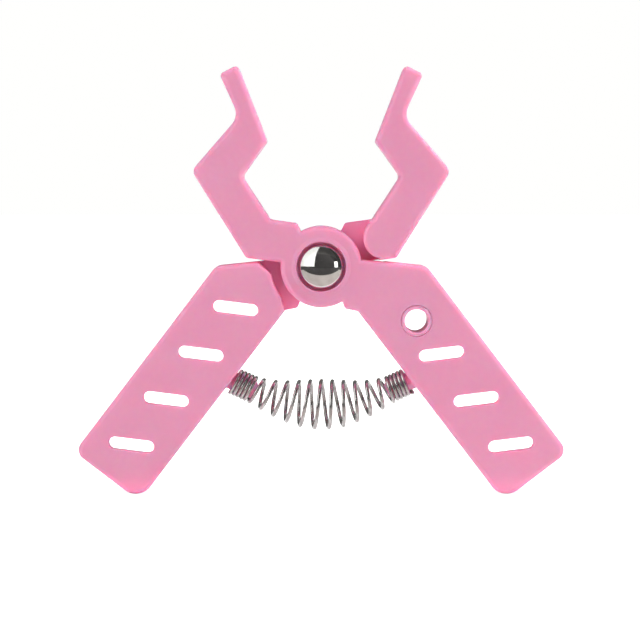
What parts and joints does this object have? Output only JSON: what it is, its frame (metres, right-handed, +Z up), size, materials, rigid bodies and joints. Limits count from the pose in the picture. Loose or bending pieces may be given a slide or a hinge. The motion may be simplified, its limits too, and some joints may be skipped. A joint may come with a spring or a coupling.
{
  "type": "watch movement holder",
  "caption": "Spring-opened hand clamp with V-notched jaws on crossing plastic levers, for holding a watch movement or case by its edge.",
  "frame": {"origin": "under the middle of the holder, on the plane its two handle ends stand on", "axes": "+Z up through the hub towards the jaws, +X to the right, +Y away from the plain slotted faces, towards the cored backs"},
  "size_m": [0.1144, 0.0162, 0.1003],
  "materials": {
    "pink_plastic": "satin moulded",
    "pink_bush": "satin moulded",
    "polished_steel": "mirror polished",
    "rivet_steel": "plain",
    "spring_steel": "bright drawn wire"
  },
  "bodies": {
    "front_lever_body": {"front_lever": "pink_plastic", "handle_hole_bush": "pink_bush", "rivet_front_cap": "polished_steel", "rivet_front_pin": "rivet_steel", "rivet_rear_cap": "polished_steel", "rivet_rear_tube": "rivet_steel", "return_spring": "spring_steel"},
    "rear_lever_body": {"rear_lever": "pink_plastic"}
  },
  "joints": [
    {"name": "hub_hinge", "type": "hinge", "parent": "front_lever_body", "child": "rear_lever_body", "pos_m": [0, 0, 0.05355], "axis": [0, -1, 0], "range_deg": [0, 42], "stiffness_Nm_per_rad": 0.55, "springref_deg": -8.59, "deforming": ["return_spring"]}
  ]
}
